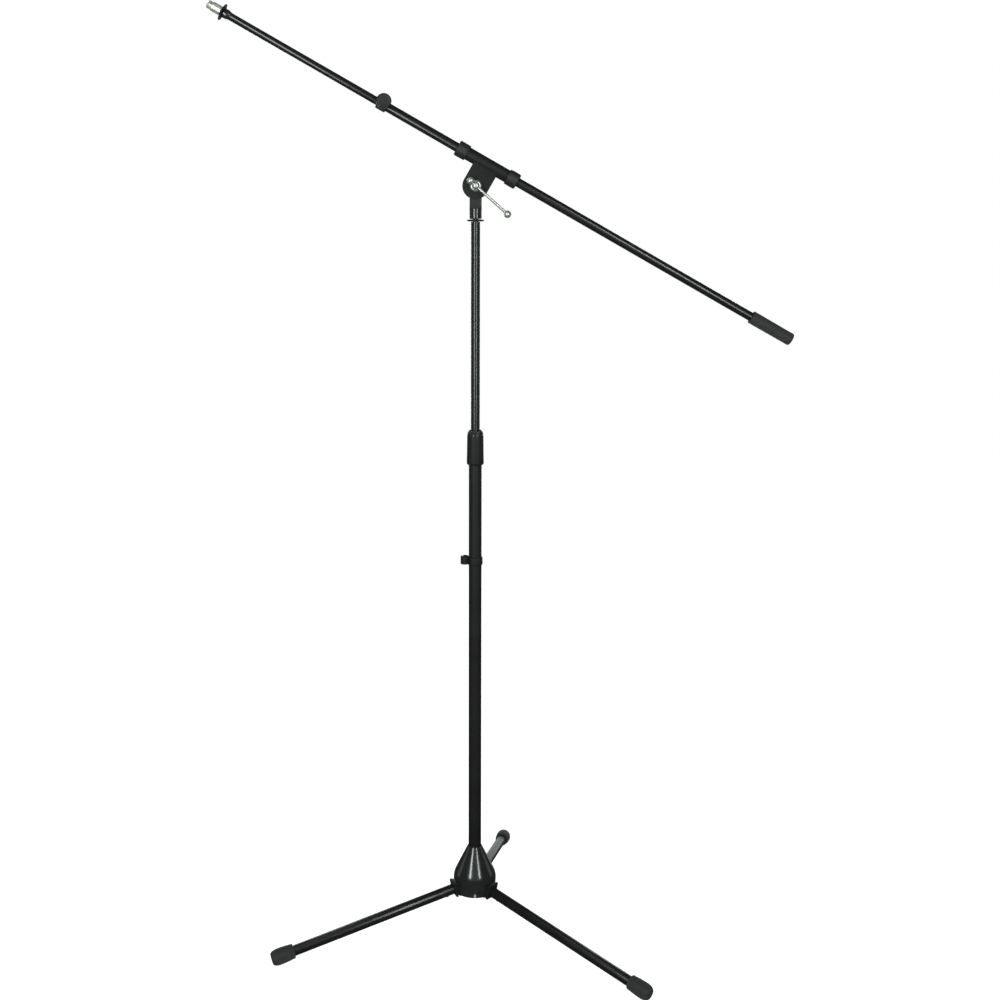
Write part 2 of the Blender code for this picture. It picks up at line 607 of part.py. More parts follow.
def boom_tip(axis_frame):
    """The ferrule in the inner tube, its stud, the lock disc and the thread adapter."""
    shoulder = INNER_TUBE_FRONT - GAP
    stud_bore = STUD_R + GAP
    ferrule = (
        (0, shoulder + 16), (5.4, shoulder + 16), (5.4, shoulder), (7.0, shoulder), (8.45, shoulder - 4.5),
        (8.45, FERRULE_FRONT), (stud_bore, FERRULE_FRONT), (stud_bore, shoulder + 6), (0, shoulder + 6),
    )
    turned("tip_ferrule", ferrule, BLACK_PAINT, axis_frame, turn=ALONG_X)
    rod("tip_stud", STUD_R, ADAPTER_FRONT + 9, shoulder + 5.7, STEEL, axis_frame, turn=ALONG_X)
    middle = (FERRULE_FRONT + ADAPTER_REAR) / 2
    disc = (
        (stud_bore, middle - 2.0), (9.0, middle - 1.6), (TIP_DISC_R, middle - 1.0),
        (TIP_DISC_R, middle + 0.8), (9.0, middle + 1.8), (stud_bore, middle + 2.0),
    )
    turned("tip_lock_disc", disc, BLACK_PAINT, axis_frame, turn=ALONG_X, steps=32)
    nose = ADAPTER_FRONT + 8.5
    adapter_outline = (
        (stud_bore, ADAPTER_FRONT), (6.4, ADAPTER_FRONT), (7.2, ADAPTER_FRONT + 1), (7.2, nose),
        (8.3, nose + 1.0), (8.3, ADAPTER_REAR), (stud_bore, ADAPTER_REAR),
    )
    adapter = turned("thread_adapter", adapter_outline, NICKEL, axis_frame, turn=ALONG_X)
    slot = block(
        "adapter_slot", (ADAPTER_FRONT - 5, -20, -2.2), (ADAPTER_FRONT + 7.5, 20, 2.2), None, axis_frame,
        turn=(math.radians(38), 0, 0),
    )
    cut(adapter, slot)


def place_on_origin(stand):
    """Moves the stand so that the origin is under the middle of its box, on the floor."""
    bpy.context.view_layer.update()
    shown = bpy.context.evaluated_depsgraph_get()
    corners = []
    for made in bpy.data.objects:
        if made.type == "MESH" and not made.hide_render:
            mesh = made.evaluated_get(shown).to_mesh()
            corners += [made.matrix_world @ vert.co for vert in mesh.vertices]
    for axis in (0, 1):
        values = [corner[axis] for corner in corners]
        stand.location[axis] = -(min(values) + max(values)) / 2
    stand.location[2] = -min(corner[2] for corner in corners)
    bpy.context.view_layer.update()


def main():
    clear_scene()
    stand = empty("stand")
    frames = [leg_frame(stand, index) for index in range(3)]
    hub_casting(stand, frames)
    hub_fasteners(stand)
    for leg, frame in zip(LEG_NAMES, frames):
        leg_knuckle(leg, frame)
        leg_tube(leg, frame)
        leg_rivet(leg, frame)
        leg_foot(leg, frame)
        leg_pin(leg, frame)
    lower_column(stand)
    clutch_grip(stand)
    cable_clip(stand)
    mast(stand)
    head = empty("head_frame", stand, (0, 0, PIVOT_Z))
    boom = empty("boom_frame", head, turn=(0, BOOM_TILT, 0))
    axis_frame = empty("boom_axis_frame", boom, (0, 0, BOOM_HEIGHT))
    swivel_head(stand, head)
    friction_discs(boom)
    clamp_strap(boom)
    clamp_screw(head)
    boom_bushes(axis_frame)
    knob = knob_frame(axis_frame)
    boom_outer(axis_frame, knob)
    boom_knob(knob)
    boom_inner(axis_frame)
    boom_tip(axis_frame)
    place_on_origin(stand)


main()
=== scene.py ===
"""Looks of the boom microphone stand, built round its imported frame.

Shapes are in millimetres, each in the local frame of the part that it belongs to.
A local frame is a matrix that also turns millimetres into the scene's metres.
"""

import json
import math

import bmesh
import bpy
from mathutils import Matrix, Vector

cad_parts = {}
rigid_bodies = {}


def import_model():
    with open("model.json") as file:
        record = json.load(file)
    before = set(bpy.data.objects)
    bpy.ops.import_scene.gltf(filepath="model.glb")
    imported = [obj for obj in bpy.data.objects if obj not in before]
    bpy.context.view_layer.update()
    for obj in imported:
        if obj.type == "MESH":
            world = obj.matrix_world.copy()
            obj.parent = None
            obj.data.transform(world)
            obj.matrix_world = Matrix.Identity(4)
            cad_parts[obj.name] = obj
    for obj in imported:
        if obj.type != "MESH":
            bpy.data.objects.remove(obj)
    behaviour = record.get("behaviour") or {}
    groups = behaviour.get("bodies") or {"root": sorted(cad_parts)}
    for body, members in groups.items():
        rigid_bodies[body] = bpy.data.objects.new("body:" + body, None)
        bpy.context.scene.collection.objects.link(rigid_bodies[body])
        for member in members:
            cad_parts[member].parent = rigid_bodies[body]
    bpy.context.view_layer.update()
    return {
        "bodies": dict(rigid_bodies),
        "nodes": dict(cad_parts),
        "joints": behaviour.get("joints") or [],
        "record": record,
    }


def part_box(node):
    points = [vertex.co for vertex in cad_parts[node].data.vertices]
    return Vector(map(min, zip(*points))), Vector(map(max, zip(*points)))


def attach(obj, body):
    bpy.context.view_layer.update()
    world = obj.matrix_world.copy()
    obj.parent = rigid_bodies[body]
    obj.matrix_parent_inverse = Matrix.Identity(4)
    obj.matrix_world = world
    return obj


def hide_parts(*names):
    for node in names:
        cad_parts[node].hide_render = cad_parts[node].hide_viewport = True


MM = 0.001
GAP = 0.3
FINE = 96  # segments round a tube
EDGE_ANGLE, CUT_ANGLE = 38.0, 30.0  # edges stay sharp above it, on plain pieces and on cut ones
LEGS = ("rear", "left", "right")

# Slots of the record
PAINT, PLASTIC, RUBBER = "black_paint", "black_plastic", "black_rubber"
CHROME, NICKEL, STEEL, NYLON = "chrome_plate", "nickel_plate", "plain_steel", "nylon"

# Finer finishes of the black paint and plastic
GLOSS, MATT = "gloss_paint", "matt_paint"
FIRM, SHINY = "firm_plastic", "shiny_plastic"

# Legs and hub
LEG_SLOPE = math.radians(12.2)
LEG_OFFSET = 7.6
LEG_TUBE_R = 9.1
HINGE_R = 30.0
PLATE_FACE = 6.0
PLATE_FRONT = 10.5
FOOT_LENGTH = 40.0
FOOT_REACH = 378.0
LEG_REACH = (FOOT_REACH - LEG_OFFSET * math.sin(LEG_SLOPE) - HINGE_R) / math.cos(LEG_SLOPE)
PLATE_LOW, PLATE_HIGH = -4.2, 21.8
HUB_SEGMENTS = 144
PIN_BORE, PIN_R, RIVET_BORE = 2.8, 2.45, 2.2
EAR_HALF = 11.0
EAR_R = 5.7
EAR_PAD_TOP = 19.5
SET_SCREW_Z = 81.0
RIVET_X = 24.5  # hinge pin to rivet, along the leg

# Column
LOWER_R, LOWER_BORE, LOWER_FOOT, LOWER_TOP = 11.4, 10.3, 76.3, 905.0
CLUTCH_BASE, CLUTCH_TOP = 863.7, 925.3
UPPER_R, UPPER_BORE, UPPER_FOOT, UPPER_TOP = 7.95, 6.95, 580.0, 1290.0
STUD_R, STUD_TOP = 4.6, 1311.0
STUD_DEPTH, STUD_PITCH = 0.45, 1.27
CLIP_BASE, CLIP_TOP, CLIP_HOOK_X = 683.5, 697.3, -18.6
SWIVEL_DISC_R, RIM_TEETH, TOOTH_DEPTH = 14.5, 60, 0.25

# Swivel head and clamp
PIVOT = 1351.8
NECK_BASE, NECK_TOP, NECK_R = 1294.9, 1313.5, 10.7
SWIVEL_R, SWIVEL_HALF, TONGUE_HALF = 22.4, 5.6, 10.6
CHEEK_INNER, CHEEK_OUTER, CHEEK_R = 7.3, 9.1, 23.0
SCREW_R = 3.9
BAR_DEPTH, BAR_R, BALL_R = 22.0, 2.5, 6.5
UPPER_BALL, LOWER_BALL = -12.2, 73.4

# Boom, along its axis from the pivot
BOOM_HEIGHT = 41.25
SLEEVE_R, SLEEVE_BORE, SLEEVE_HALF = 11.4, 9.6, 39.5
BUSH_R, BUSH_END = 13.9, 60.0
OUTER_R, OUTER_BORE, OUTER_FRONT, OUTER_REAR = 8.0, 7.0, -203.0, 603.5
COLLAR_FRONT, COLLAR_REAR, COLLAR_R = -216.7, -198.7, 11.0
GRIP_FRONT, GRIP_REAR = 531.0, 612.5
INNER_R, INNER_BORE, INNER_FRONT, INNER_REAR = 6.7, 5.7, -506.3, -100.0
FERRULE_FRONT, TIP_DISC_R = -518.4, 15.1
ADAPTER_FRONT, ADAPTER_REAR = -549.5, -523.5

# Camera, in metres from the column's foot; its angle down in degrees, its lens in sensor widths
CAMERA_X, CAMERA_DISTANCE, CAMERA_HEIGHT = -0.0270, 2.4773, 1.2953
CAMERA_DOWN, CAMERA_SHIFT, LENS_RATIO = 6.4, (0.04, -0.122), 1.420


# ---------------------------------------------------------------- materials


class Shader:
    """A Principled material with a few procedural helpers on the object's own coordinates."""

    def __init__(self, name):
        self.material = bpy.data.materials.new(name)
        self.material.use_nodes = True
        self.tree = self.material.node_tree
        self.principled = self.tree.nodes["Principled BSDF"]
        self.place = self.tree.nodes.new("ShaderNodeTexCoord").outputs["Object"]

    def set(self, **values):
        for key, value in values.items():
            self.principled.inputs[key.replace("_", " ")].default_value = value

    def node(self, kind, **inputs):
        made = self.tree.nodes.new(kind)
        for key, value in inputs.items():
            socket = made.inputs[key.replace("_", " ")]
            if isinstance(value, bpy.types.NodeSocket):
                self.tree.links.new(value, socket)
            else:
                socket.default_value = value
        return made

    def noise(self, scale, detail, roughness=0.55):
        return self.node(
            "ShaderNodeTexNoise", Vector=self.place, Scale=scale, Detail=detail, Roughness=roughness
        ).outputs[0]

    def span(self, noise, low, high):
        """The middle of a noise's range, spread from low to high."""
        return self.node(
            "ShaderNodeMapRange", Value=noise, From_Min=0.3, From_Max=0.7, To_Min=low, To_Max=high
        ).outputs[0]

    def blend(self, noise, first, second):
        """A colour between the two, by the middle of a noise's range."""
        mix = self.tree.nodes.new("ShaderNodeMix")
        mix.data_type = "RGBA"
        self.tree.links.new(self.span(noise, 0.0, 1.0), mix.inputs[0])
        mix.inputs[6].default_value = (*first, 1.0)
        mix.inputs[7].default_value = (*second, 1.0)
        return mix.outputs[2]

    def link(self, output, socket):
        self.tree.links.new(output, self.principled.inputs[socket])

    def bump(self, height, distance, strength):
        return self.node("ShaderNodeBump", Height=height, Distance=distance, Strength=strength).outputs[0]


def paint_shader(name, dark, light, low, high, coat, gloss):
    """Black stove paint with a soft change of tone and gloss."""
    made = Shader(name)
    cloud = made.noise(24.0, 4.0)
    fine = made.noise(70.0, 4.0, 0.6)
    made.link(made.blend(cloud, (dark, dark, dark), (light, light, light)), "Base Color")
    made.link(made.span(fine, low, high), "Roughness")
    made.set(Coat_Weight=coat, Coat_Roughness=0.14, Specular_IOR_Level=gloss)
    return made.material


def plastic_shader(name, dark, light, low, high, gloss):
    """Moulded black plastic with a fine spark-eroded grain."""
    made = Shader(name)
    grain = made.noise(1400.0, 3.0, 0.6)
    cloud = made.noise(60.0, 3.0)
    scuff = made.noise(700.0, 6.0, 0.75)
    made.link(made.blend(cloud, dark, light), "Base Color")
    made.link(made.span(scuff, low, high), "Roughness")
    made.link(made.bump(grain, 0.00004, 0.25), "Normal")
    made.set(Specular_IOR_Level=gloss)
    return made.material


def rubber_shader():
    """Matt rubber with a dusty bloom."""
    made = Shader("matt_black_rubber")
    grain = made.noise(1700.0, 4.0, 0.65)
    bloom = made.noise(90.0, 6.0, 0.7)
    made.link(made.blend(bloom, (0.014, 0.0145, 0.0135), (0.022, 0.0228, 0.0212)), "Base Color")
    made.link(made.span(bloom, 0.6, 0.78), "Roughness")
    made.link(made.bump(grain, 0.00006, 0.3), "Normal")
    made.set(Specular_IOR_Level=0.35, Sheen_Weight=0.06, Sheen_Roughness=0.5)
    return made.material


def plate_shader(name, first, second, low, high, metallic=1.0):
    """Plated metal, its tone and gloss slightly cloudy; less metallic where the plating is hazy."""
    made = Shader(name)
    cloud = made.noise(160.0, 4.0)
    smear = made.noise(500.0, 4.0, 0.6)
    made.link(made.blend(cloud, first, second), "Base Color")
    made.link(made.span(smear, low, high), "Roughness")
    made.set(Metallic=metallic)
    return made.material


def nylon_shader():
    """Milky natural nylon."""
    made = Shader("natural_nylon")
    cloud = made.noise(200.0, 4.0)
    made.link(made.blend(cloud, (0.62, 0.6, 0.54), (0.72, 0.7, 0.64)), "Base Color")
    made.link(made.span(cloud, 0.4, 0.5), "Roughness")
    made.set(Subsurface_Weight=0.1, Subsurface_Scale=0.002)
    return made.material


def make_looks():
    """The material of each look: a record slot, or one of the finer finishes within a slot."""
    return {
        PAINT: paint_shader("satin_black_paint", 0.0055, 0.0085, 0.26, 0.285, 0.10, 0.45),
        GLOSS: paint_shader("gloss_black_paint", 0.0105, 0.0150, 0.18, 0.22, 0.30, 0.5),
        MATT: paint_shader("matt_black_paint", 0.0060, 0.0090, 0.48, 0.56, 0.0, 0.2),
        PLASTIC: plastic_shader(
            "grained_black_plastic", (0.0095, 0.0100, 0.0095), (0.0145, 0.0155, 0.0145), 0.42, 0.58, 0.36
        ),
        FIRM: plastic_shader(
            "firm_black_plastic", (0.0065, 0.0070, 0.0065), (0.0105, 0.0110, 0.0105), 0.42, 0.58, 0.22
        ),
        SHINY: plastic_shader(
            "shiny_black_plastic", (0.010, 0.011, 0.010), (0.015, 0.016, 0.015), 0.22, 0.28, 0.6
        ),
        RUBBER: rubber_shader(),
        CHROME: plate_shader("bright_chrome", (0.50, 0.52, 0.47), (0.59, 0.61, 0.56), 0.33, 0.38, 0.86),
        NICKEL: plate_shader("satin_nickel", (0.70, 0.70, 0.63), (0.80, 0.80, 0.73), 0.36, 0.44, 0.85),
        STEEL: plate_shader("plain_steel", (0.36, 0.36, 0.35), (0.46, 0.46, 0.45), 0.30, 0.45),
        NYLON: nylon_shader(),
    }


# ---------------------------------------------------------------- local frames


def local_frame(at, x, y, z):
    """A matrix with those axes at a point in metres, for shapes in millimetres."""
    axes = Matrix((Vector(x).normalized(), Vector(y).normalized(), Vector(z).normalized())).transposed()
    return Matrix.Translation(Vector(at)) @ axes.to_4x4() @ Matrix.Scale(MM, 4)


def joint(frame, name):
    return next(found for found in frame["joints"] if found["name"] == name)


def local_frames(frame):
    """The named local frames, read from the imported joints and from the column's box."""
    low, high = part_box("lower_tube")
    column = Vector(((low.x + high.x) / 2, (low.y + high.y) / 2, 0))
    side = Vector((0, 1, 0))
    up = Vector((0, 0, 1))
    frames = {"stand": local_frame(column, (1, 0, 0), side, up)}
    for leg in LEGS:
        hinge = joint(frame, f"leg_fold_{leg}")
        pin = Vector(hinge["axis"])
        out = pin.cross(up)
        x = out * math.cos(LEG_SLOPE) - up * math.sin(LEG_SLOPE)
        frames[f"leg_{leg}"] = local_frame(hinge["pos_m"], x, pin, x.cross(pin))
        frames[f"pin_{leg}"] = local_frame(hinge["pos_m"], out, pin, up)
    pivot = Vector(joint(frame, "boom_tilt")["pos_m"])
    line = Vector(joint(frame, "boom_slide")["axis"])
    rise = line.cross(side)
    axis = pivot + rise * BOOM_HEIGHT * MM
    frames["boom"] = local_frame(pivot, line, side, rise)
    frames["boom_line"] = local_frame(axis, -rise, side, line)
    frames["screw"] = local_frame(pivot, (1, 0, 0), up, -side)
    bar = Vector(joint(frame, "tommy_bar_slide")["axis"])
    frames["bar"] = local_frame(pivot - side * BAR_DEPTH * MM, bar.cross(side), side, bar)
    knob = joint(frame, "knob_turn")
    out = Vector(knob["axis"])
    frames["knob"] = local_frame(knob["pos_m"], line, out.cross(line), out)
    return frames


# ---------------------------------------------------------------- shapes


def eased(outline, radius):
    """The outline with its corners rounded, except those on the axis and those that hardly turn."""
    points = [Vector(point) for point in outline]
    count = 3
    made = []
    for i, point in enumerate(points):
        before, after = points[i - 1], points[(i + 1) % len(points)]
        back, on = before - point, after - point
        turn = back.angle(-on, 0.0) if back.length and on.length else 0.0
        if point.x < 1e-6 or turn < math.radians(14) or radius <= 0:
            made.append(point)
            continue
        start = point + back.normalized() * min(radius, back.length * 0.4)
        end = point + on.normalized() * min(radius, on.length * 0.4)
        for step in range(count + 1):
            t = step / count
            made.append(start.lerp(point, t).lerp(point.lerp(end, t), t))
    return made


def shade(made, sharp=EDGE_ANGLE):
    """Smooth shading, with edges that turn by more than an angle in degrees kept sharp."""
    made.data.shade_smooth()
    made.data.set_sharp_from_angle(angle=math.radians(sharp))


def finish_mesh(name, bm, where):
    bmesh.ops.remove_doubles(bm, verts=bm.verts, dist=1e-4)
    bmesh.ops.recalc_face_normals(bm, faces=bm.faces)
    bm.transform(where)
    mesh = bpy.data.meshes.new(name)
    bm.to_mesh(mesh)
    bm.free()
    made = bpy.data.objects.new(name, mesh)
    bpy.context.scene.collection.objects.link(made)
    shade(made)
    return made


def lathe(name, outline, where, steps, ease, shape=None):
    """A solid turned round the frame's Z from (radius, height) points.

    The outline is a closed loop, or starts and ends on the axis. shape(radius, height, angle) can move
    each point's radius.
    """
    points = eased(outline, ease)
    open_ended = points[0].x < 1e-6 and points[-1].x < 1e-6
    bm = bmesh.new()
    rings = []
    for step in range(steps):
        angle = 2 * math.pi * step / steps
        row = []
        for point in points:
            radius = shape(point.x, point.y, angle) if shape and point.x > 1e-6 else point.x
            row.append(bm.verts.new((radius * math.cos(angle), radius * math.sin(angle), point.y)))
        rings.append(row)
    count = len(points)
    for step in range(steps):
        row, after = rings[step], rings[(step + 1) % steps]
        for i in range(count - 1 if open_ended else count):
            j = (i + 1) % count
            corners = [row[i], row[j], after[j], after[i]]
            if points[i].x < 1e-6:
                corners = [row[i], row[j], after[j]]
            elif points[j].x < 1e-6:
                corners = [row[i], row[j], after[i]]
            bm.faces.new(corners)
    return finish_mesh(name, bm, where)


def tube(name, bore, radius, low, high, where, steps=FINE, ease=0.35):
    return lathe(name, ((bore, low), (radius, low), (radius, high), (bore, high)), where, steps, ease)


def rod(name, radius, low, high, where, steps=FINE, ease=0.35):
    return lathe(name, ((0, low), (radius, low), (radius, high), (0, high)), where, steps, ease)


def slab(name, outline, low, high, where):
    """An outline of (x, z) points, extruded along the frame's Y."""
    bm = bmesh.new()
    first = [bm.verts.new((x, low, z)) for x, z in outline]
    last = [bm.verts.new((x, high, z)) for x, z in outline]
    bm.faces.new(first)
    bm.faces.new(last)
    for i in range(len(first)):
        j = (i + 1) % len(first)
        bm.faces.new((first[i], first[j], last[j], last[i]))
    return finish_mesh(name, bm, where)


def block(name, low, high, where):
    (x0, y0, z0), (x1, y1, z1) = low, high
    return slab(name, ((x0, z0), (x1, z0), (x1, z1), (x0, z1)), y0, y1, where)


def arc(radius, start, end, count):
    angles = [math.radians(start + (end - start) * i / count) for i in range(count + 1)]
    return [(radius * math.cos(a), radius * math.sin(a)) for a in angles]


def freeze(made):
    """Applies a piece's modifiers."""
    shown = made.evaluated_get(bpy.context.evaluated_depsgraph_get())
    mesh = bpy.data.meshes.new_from_object(shown)
    made.modifiers.clear()
    made.data = mesh


def carve(made, tools, operation="DIFFERENCE"):
    """Cuts the tools from a piece, or joins them to it, and removes them."""
    for tool in tools:
        step = made.modifiers.new("carve", "BOOLEAN")
        step.operation = operation
        step.solver = "EXACT"
        step.object = tool
        freeze(made)
        bpy.data.objects.remove(tool)


def bevel(made, width, segments, angle=40.0):
    """Rounds a piece's sharp edges and smooths its shading."""
    step = made.modifiers.new("bevel", "BEVEL")
    step.width = width * MM
    step.segments = segments
    step.limit_method = "ANGLE"
    step.angle_limit = math.radians(angle)
    step.use_clamp_overlap = True
    step.harden_normals = False
    freeze(made)
    shade(made)


def moved(where, at=(0, 0, 0), turn=(0, 0, 0)):
    """The frame moved by millimetres, then turned by degrees about its own X, Y and Z."""
    x, y, z = (Matrix.Rotation(math.radians(angle), 4, axis) for angle, axis in zip(turn, "XYZ"))
    return where @ Matrix.Translation(Vector(at)) @ z @ y @ x


def wound(radius, height, angle, start, pitch, depth):
    """The radius of a V-shaped thread at a height and an angle."""
    phase = ((height - start) / pitch - angle / (2 * math.pi)) % 1.0
    return radius - depth * abs(2 * phase - 1)


def helix(name, radius, depth, pitch, low, high, where):
    """A shaft whose side is a wound thread."""
    rows = max(2, int((high - low) / pitch * 4))
    heights = [low + (high - low) * i / rows for i in range(rows + 1)]
    outline = [(0, low), *((radius, z) for z in heights), (0, high)]

    def shape(r, z, angle):
        return wound(r, z, angle, low, pitch, depth) if abs(r - radius) < 1e-6 else r

    return lathe(name, outline, where, 48, 0.0, shape)


class Kit:
    """Gives each piece its material and CAD body, and hides the CAD nodes that it stands for."""

    def __init__(self, frame):
        self.looks = make_looks()
        self.nodes = frame["nodes"]
        self.done = set()

    def add(self, made, look, body, *nodes):
        made.data.materials.clear()
        made.data.materials.append(self.looks[look])
        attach(made, body)
        if nodes:
            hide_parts(*nodes)
            self.done.update(nodes)

    def dress_rest(self, record):
        """The CAD nodes that stay get the material of their own slot."""
        slots = {part["node"]: part["material_slot"] for part in record["subparts"]}
        for name, node in self.nodes.items():
            if name in self.done:
                continue
            if not node.material_slots:
                node.data.materials.append(None)
            for held in node.material_slots:
                held.material = self.looks[slots[name]]


# ---------------------------------------------------------------- base hub and legs


def base_hub(kit, frames):
    """A hollow casting: a cone over a round base, with three ears for the hinge pins."""
    stand = frames["stand"]
    outside = (
        (0, 70.5), (16.6, 70.5), (16.6, 76.0), (33.6, 76.0), (35.4, 76.5), (36.6, 82), (37.9, 92),
        (38.4, 100), (38.35, 103.5), (37.9, 107.2), (37.1, 110.6), (35.9, 114.4), (34.3, 118.0),
        (13.25, 160.3), (12.5, 161.5), (0, 161.5),
    )
    hub = lathe("hub_casting_shell", outside, stand, HUB_SEGMENTS, 0.5)
    cavity = ((15.6, 60), (31.4, 60), (34.4, 99), (31.8, 112.5), (17.0, 142), (15.6, 142))
    carve(hub, [lathe("hub_cavity", cavity, stand, HUB_SEGMENTS, 0)])
    lean = math.tan(LEG_SLOPE)
    face = EAR_R / math.cos(LEG_SLOPE)
    ear = [(-15.5, 15), (3.5, 15), (3.5, EAR_PAD_TOP), (face + EAR_PAD_TOP * lean, EAR_PAD_TOP)]
    ear += arc(EAR_R, -math.degrees(LEG_SLOPE), -90, 10)
    ear.append((-15.5, -EAR_R))
    ears = [slab("hub_ear", ear, -EAR_HALF, EAR_HALF, frames[f"pin_{leg}"]) for leg in LEGS]
    for made in ears:
        bevel(made, 0.7, 2)
    carve(hub, ears, "UNION")
    tools = [
        rod("seat", LOWER_R + GAP, 76.0, 200, stand, FINE, 0),
        rod("bolt_bore", 4.3, 50, 90, stand, 48, 0),
    ]
    for leg in LEGS:
        pin = frames[f"pin_{leg}"]
        tools.append(block("slot", (-6.5, -5.3, -20), (30, 5.3, 13.3), pin))
        tools.append(rod("pin_bore", PIN_BORE, -15, 15, moved(pin, turn=(90, 0, 0)), 32, 0))
    front = moved(stand, turn=(90, 0, 0))
    screw_line = moved(front, (0, SET_SCREW_Z, 0))
    tools.append(rod("screw_bore", 2.8, 11, 50, screw_line, 32, 0))
    tools.append(rod("side_hole", 2.0, 30, 50, moved(front, (8.5, 87.5, 0)), 32, 0))
    carve(hub, tools)
    shade(hub, CUT_ANGLE)
    kit.add(hub, GLOSS, "base", "hub_casting")
    screw = lathe(
        "hub_grub_screw",
        ((0, 33.6), (1.3, 33.6), (1.3, 36.4), (2.0, 36.8), (2.5, 36.3), (2.5, 11.9), (0, 11.9)),
        screw_line, 48, 0.1,
    )
    kit.add(screw, NICKEL, "base", "hub_set_screw")
    for leg in LEGS:
        pin = moved(frames[f"pin_{leg}"], turn=(90, 0, 0))
        shape = ((0, -10.7), (1.4, -10.7), (PIN_R, -10.1), (PIN_R, 10.1), (1.4, 10.7), (0, 10.7))
        kit.add(lathe(f"hinge_pin_{leg}", shape, pin, 40, 0.2), STEEL, "base", f"leg_pin_{leg}")


def leg(kit, frames, name):
    """A knuckle with its tongue, flange plate and spigot, then the tube, its rivet and its foot."""
    frame = frames[f"leg_{name}"]
    body = f"leg_{name}"
    line = moved(frame, (0, 0, LEG_OFFSET), (0, 90, 0))
    plate = block("plate", (PLATE_FACE, -13, PLATE_LOW), (PLATE_FRONT, 13, PLATE_HIGH), frame)
    bevel(plate, 1.2, 3)
    tongue_outline = arc(5.2, 150, 270, 12)
    tongue_outline += [(PLATE_FACE + 1, PLATE_LOW + 1), (PLATE_FACE + 1, 12), (2, 12)]
    tongue = slab("tongue", tongue_outline, -5.0, 5.0, frame)
    root = PLATE_FRONT - 1
    seat_ring = rod("seat_ring", 9.6, root, PLATE_FRONT + 0.25, line, FINE, 0)
    spigot = rod("spigot", 7.8, root, PLATE_FRONT + 28, line)
    carve(plate, [tongue, spigot, seat_ring], "UNION")
    carve(plate, [rod("pin_bore", PIN_BORE, -20, 20, moved(frame, turn=(90, 0, 0)), 32, 0)])
    rivet_line = moved(frame, (RIVET_X, 0, LEG_OFFSET))
    carve(plate, [rod("rivet_bore", RIVET_BORE, -12, -1.5, rivet_line, 24, 0)])
    plate.name = f"leg_knuckle_piece_{name}"
    shade(plate)
    kit.add(plate, FIRM, body, f"leg_knuckle_{name}")
    start, end = PLATE_FRONT + GAP, LEG_REACH - 4.5
    shaft = tube(f"leg_tube_piece_{name}", LEG_TUBE_R - 1, LEG_TUBE_R, start, end, line)
    carve(shaft, [rod("rivet_bore", RIVET_BORE, -12, -1.5, rivet_line, 24, 0)])
    shade(shaft)
    kit.add(shaft, PAINT, body, f"leg_tube_{name}")
    rivet = (
        (0, -2.5), (1.9, -2.5), (1.9, -9.4), (3.4, -9.4), (3.2, -9.95), (2.5, -10.4), (1.2, -10.65),
        (0, -10.7),
    )
    made = lathe(f"leg_rivet_piece_{name}", rivet, rivet_line, 32, 0.1)
    kit.add(made, STEEL, body, f"leg_rivet_{name}")
    kit.add(leg_foot(name, line), RUBBER, body, f"leg_foot_{name}")


def leg_foot(name, line):
    """A swollen rubber boot with a rolled mouth and a few shallow rings towards its tread."""
    back = [
        (0.0, 9.3), (0.7, 10.3), (1.8, 11.3), (3.2, 12.1), (5.0, 12.9), (7.5, 13.5), (9.0, 13.75),
        (9.4, 13.45), (9.9, 13.45), (10.3, 13.9), (12.0, 14.05), (13.3, 14.08), (13.7, 13.75),
        (14.2, 13.75), (14.6, 14.05), (17.0, 14.0), (22.0, 13.85), (27.0, 13.55), (32.0, 13.1),
        (35.4, 12.85), (35.9, 12.4), (36.5, 12.4), (37.0, 12.75), (38.2, 12.8), (39.3, 12.65),
        (FOOT_LENGTH, 12.1),
    ]
    outside = [(radius, LEG_REACH - along) for along, radius in back]
    bore = LEG_TUBE_R + 0.15
    mouth, end = LEG_REACH - FOOT_LENGTH, LEG_REACH - 4.2
    groove = LEG_REACH - 0.9
    tread = [
        (0, groove), (4.0, groove), (4.4, LEG_REACH), (5.6, LEG_REACH), (6.0, groove), (7.6, groove),
        (8.0, LEG_REACH),
    ]
    outline = [*tread, *outside, (bore + 0.6, mouth), (bore, mouth + 0.6), (bore, end), (0, end)]
    return lathe(f"leg_foot_piece_{name}", outline, line, FINE, 0.12)


# ---------------------------------------------------------------- column


def column(kit, frames):
    """The two column tubes, the clutch between them, the cable clip and the lock disc on the stud."""
    stand = frames["stand"]
    lower = tube("lower_tube_piece", LOWER_BORE, LOWER_R, LOWER_FOOT, LOWER_TOP, stand)
    kit.add(lower, MATT, "base", "lower_tube")
    upper = tube("upper_tube_piece", UPPER_BORE, UPPER_R, UPPER_FOOT, UPPER_TOP, stand)
    kit.add(upper, PAINT, "mast", "upper_tube")
    grip, crown = clutch(stand)
    kit.add(grip, FIRM, "clutch", "clutch_grip")
    kit.add(crown, SHINY, "clutch")
    kit.add(clip(stand), FIRM, "clip", "cable_clip")
    rim = SWIVEL_DISC_R
    section = ((4.9, 0.5), (9.5, 0.5), (13.9, 1.0), (rim, 1.3), (rim, 3.3), (13.9, 3.6), (4.9, 4.4))
    disc = [(radius, UPPER_TOP + height) for radius, height in section]
    made = lathe("swivel_lock_disc_piece", disc, stand, 120, 0.2, rim_knurl(rim))
    kit.add(made, MATT, "swivel_lock", "swivel_lock_disc")
    low, high = UPPER_TOP + 0.1, STUD_TOP - 0.4
    stud = helix("mast_stud_thread", STUD_R, STUD_DEPTH, STUD_PITCH, low, high, stand)
    kit.add(stud, STEEL, "mast")


